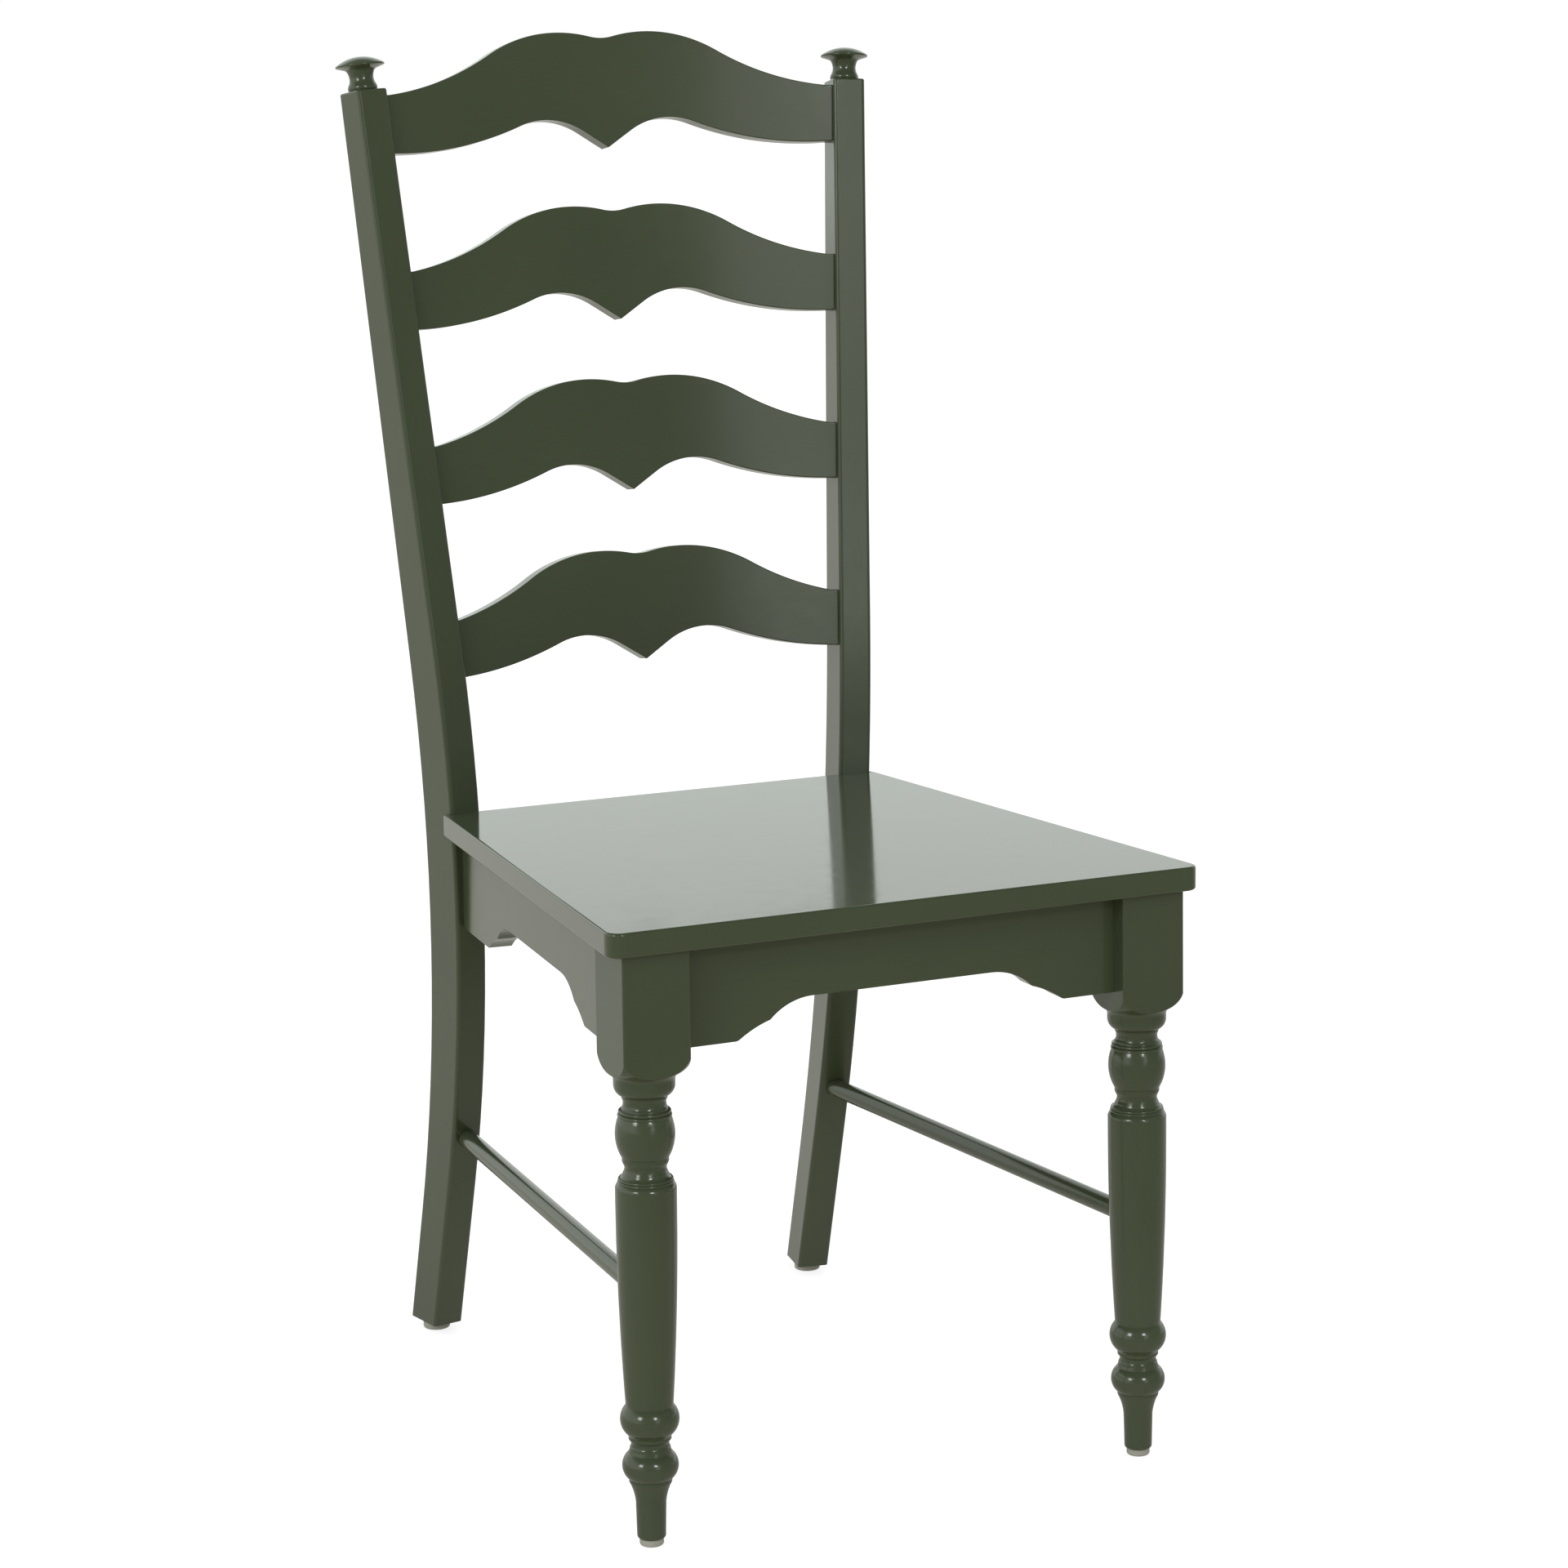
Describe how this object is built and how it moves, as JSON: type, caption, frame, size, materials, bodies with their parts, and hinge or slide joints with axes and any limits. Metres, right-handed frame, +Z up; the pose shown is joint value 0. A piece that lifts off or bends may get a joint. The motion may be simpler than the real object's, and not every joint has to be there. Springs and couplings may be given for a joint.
{
  "type": "ladderback chair",
  "caption": "Painted wooden ladderback chair with scalloped slats, turned front legs, sabre rear legs and a flat board seat.",
  "frame": {"origin": "on the floor, under the middle of the chair's overall width and depth", "axes": "+Z up, -Y towards the front of the chair, +X to its right as seen from the front"},
  "size_m": [0.4676, 0.581, 1.0624],
  "materials": {
    "green_paint": "satin",
    "bare_wood": "matte",
    "glide_plastic": "matte",
    "zinc_steel": "satin"
  },
  "bodies": {
    "root": {"back_post_left": "green_paint", "back_post_right": "green_paint", "finial_left": "green_paint", "finial_right": "green_paint", "slat_1": "green_paint", "slat_2": "green_paint", "slat_3": "green_paint", "slat_4": "green_paint", "seat_board": "green_paint", "front_rail": "green_paint", "side_rail_left": "green_paint", "side_rail_right": "green_paint", "back_rail": "green_paint", "front_leg_left": "green_paint", "front_leg_right": "green_paint", "side_stretcher_left": "green_paint", "side_stretcher_right": "green_paint", "glide_front_left": "glide_plastic", "glide_front_right": "glide_plastic", "glide_rear_left": "glide_plastic", "glide_rear_right": "glide_plastic", "corner_block_front_left": "bare_wood", "corner_block_front_right": "bare_wood", "corner_block_rear_left": "bare_wood", "corner_block_rear_right": "bare_wood", "rail_dowels": "bare_wood", "corner_block_screws": "zinc_steel", "seat_screws": "zinc_steel", "glide_nails": "zinc_steel"}
  },
  "joints": []
}
